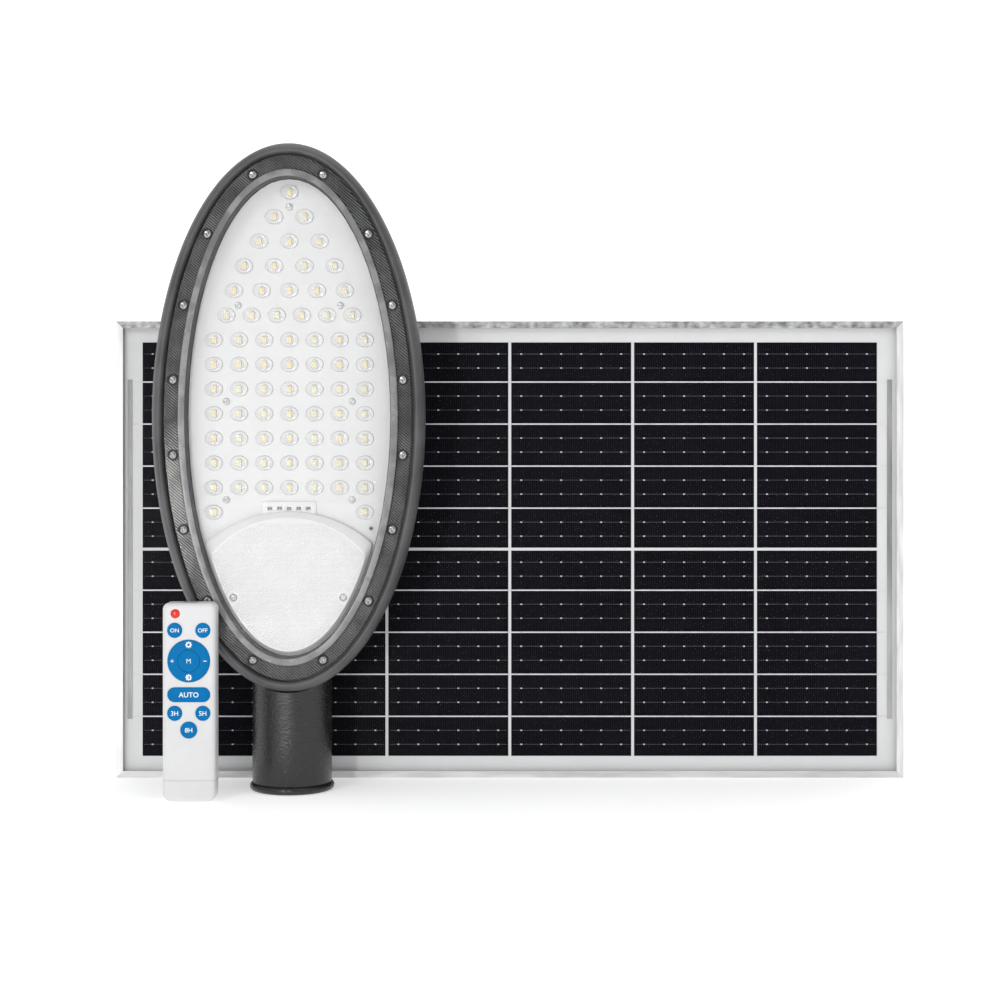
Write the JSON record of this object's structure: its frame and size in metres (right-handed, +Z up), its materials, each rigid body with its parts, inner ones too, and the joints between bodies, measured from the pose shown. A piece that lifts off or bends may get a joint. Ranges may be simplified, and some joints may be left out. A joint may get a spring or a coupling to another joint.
{
  "type": "solar street lamp",
  "caption": "Oval LED lamp head on a pole socket, with a separate framed solar panel and a slim remote control.",
  "frame": {"origin": "centre of the mouth of the pole socket, level with the floor that the set stands on", "axes": "+X to the viewer's right along the panel, +Y back from the viewer, +Z up along the pole socket; the lamp faces -Y"},
  "size_m": [0.635, 0.128, 0.501],
  "materials": {
    "housing_paint": "dark powder coat",
    "sleeve_paint": "dark wrinkle powder coat",
    "steel_screws": "plain",
    "silicone": "matt",
    "clear_cover": "clear polycarbonate",
    "board_white": "white solder mask on a metal core",
    "chip_yellow": "phosphor",
    "lens_clear": "clear",
    "white_plastic": "fine diamond texture",
    "dark_plastic": "matt",
    "cell_wrap": "shrink sleeve",
    "tray_plastic": "matt",
    "contact_metal": "tinned",
    "circuit_board": "solder mask",
    "frame_aluminium": "anodised",
    "key_aluminium": "mill finish",
    "panel_glass": "tempered",
    "solar_cell": "silicon",
    "back_sheet": "satin",
    "remote_white": "satin",
    "key_silicone": "matt",
    "dry_cells": "printed sleeve",
    "emitter": "tinted",
    "key_red": "gloss",
    "key_blue": "gloss"
  },
  "bodies": {
    "lamp": {"rear_housing": "housing_paint", "pole_sleeve": "sleeve_paint", "neck_screws": "steel_screws", "cover_gasket": "silicone", "clear_cover": "clear_cover", "cover_screws": "steel_screws", "led_board": "board_white", "led_chips": "chip_yellow", "led_lenses": "lens_clear", "board_screws": "steel_screws", "driver_cover": "white_plastic", "driver_cover_screws": "steel_screws", "charge_leds": "dark_plastic", "remote_receiver": "dark_plastic", "battery_cells": "cell_wrap", "battery_tray": "tray_plastic", "battery_links": "contact_metal", "controller_board": "circuit_board", "controller_parts": "dark_plastic", "lamp_gland": "dark_plastic", "lamp_gland_nut": "dark_plastic"},
    "clamp_lower": {"clamp_screw_lower": "steel_screws"},
    "clamp_upper": {"clamp_screw_upper": "steel_screws"},
    "panel": {"frame_top": "frame_aluminium", "frame_bottom": "frame_aluminium", "frame_left": "frame_aluminium", "frame_right": "frame_aluminium", "corner_keys": "key_aluminium", "panel_glass": "panel_glass", "solar_cells": "solar_cell", "cell_ribbons": "contact_metal", "end_ribbons": "contact_metal", "back_sheet": "back_sheet", "edge_seal": "silicone", "junction_box": "dark_plastic", "junction_lid": "dark_plastic", "junction_lid_screws": "steel_screws", "bypass_diodes": "dark_plastic", "panel_gland": "dark_plastic", "panel_gland_nut": "dark_plastic"},
    "remote_cap": {"battery_cap": "remote_white", "cap_contact": "contact_metal"},
    "remote": {"remote_front": "remote_white", "remote_back": "remote_white", "remote_board": "circuit_board", "key_mat": "key_silicone", "remote_batteries": "dry_cells", "battery_springs": "contact_metal", "ir_window": "dark_plastic", "ir_emitter": "emitter"},
    "key_red_body": {"key_red": "key_red"},
    "key_on_body": {"key_on": "key_blue"},
    "key_off_body": {"key_off": "key_blue"},
    "key_mode_body": {"key_mode": "key_blue"},
    "key_auto_body": {"key_auto": "key_blue"},
    "key_3h_body": {"key_3h": "key_blue"},
    "key_5h_body": {"key_5h": "key_blue"},
    "key_8h_body": {"key_8h": "key_blue"},
    "nav_rocker": {"nav_pad": "key_silicone"},
    "nav_ring_body": {"nav_ring": "key_blue"}
  },
  "joints": [
    {"name": "clamp_lower_screw", "type": "slide", "parent": "lamp", "child": "clamp_lower", "axis": [0, -1, 0], "range_m": [0, 0.004]},
    {"name": "clamp_upper_screw", "type": "slide", "parent": "lamp", "child": "clamp_upper", "axis": [0, -1, 0], "range_m": [0, 0.004]},
    {"name": "panel_set_back", "type": "slide", "parent": "lamp", "child": "panel", "axis": [0, 1, 0], "range_m": [0, 0.15]},
    {"name": "remote_set_forward", "type": "slide", "parent": "lamp", "child": "remote_cap", "axis": [0, -1, 0], "range_m": [0, 0.12]},
    {"name": "battery_cap_pull", "type": "slide", "parent": "remote_cap", "child": "remote", "axis": [0, 0, 1], "range_m": [0, 0.03]},
    {"name": "key_red_press", "type": "slide", "parent": "remote", "child": "key_red_body", "axis": [0, 1, 0], "range_m": [0, 0.0008], "stiffness_N_per_m": 400},
    {"name": "key_on_press", "type": "slide", "parent": "remote", "child": "key_on_body", "axis": [0, 1, 0], "range_m": [0, 0.0008], "stiffness_N_per_m": 400},
    {"name": "key_off_press", "type": "slide", "parent": "remote", "child": "key_off_body", "axis": [0, 1, 0], "range_m": [0, 0.0008], "stiffness_N_per_m": 400},
    {"name": "key_mode_press", "type": "slide", "parent": "remote", "child": "key_mode_body", "axis": [0, 1, 0], "range_m": [0, 0.0007], "stiffness_N_per_m": 400},
    {"name": "key_auto_press", "type": "slide", "parent": "remote", "child": "key_auto_body", "axis": [0, 1, 0], "range_m": [0, 0.0008], "stiffness_N_per_m": 400},
    {"name": "key_3h_press", "type": "slide", "parent": "remote", "child": "key_3h_body", "axis": [0, 1, 0], "range_m": [0, 0.0008], "stiffness_N_per_m": 400},
    {"name": "key_5h_press", "type": "slide", "parent": "remote", "child": "key_5h_body", "axis": [0, 1, 0], "range_m": [0, 0.0008], "stiffness_N_per_m": 400},
    {"name": "key_8h_press", "type": "slide", "parent": "remote", "child": "key_8h_body", "axis": [0, 1, 0], "range_m": [0, 0.0008], "stiffness_N_per_m": 400},
    {"name": "nav_left_right", "type": "hinge", "parent": "remote", "child": "nav_rocker", "pos_m": [-0.0718, -0.0538, 0.1064], "axis": [0, 0, 1], "range_deg": [-1.5, 1.5], "stiffness_Nm_per_rad": 0.3},
    {"name": "nav_up_down", "type": "hinge", "parent": "nav_rocker", "child": "nav_ring_body", "pos_m": [-0.0718, -0.0538, 0.1064], "axis": [1, 0, 0], "range_deg": [-1.5, 1.5], "stiffness_Nm_per_rad": 0.3}
  ]
}
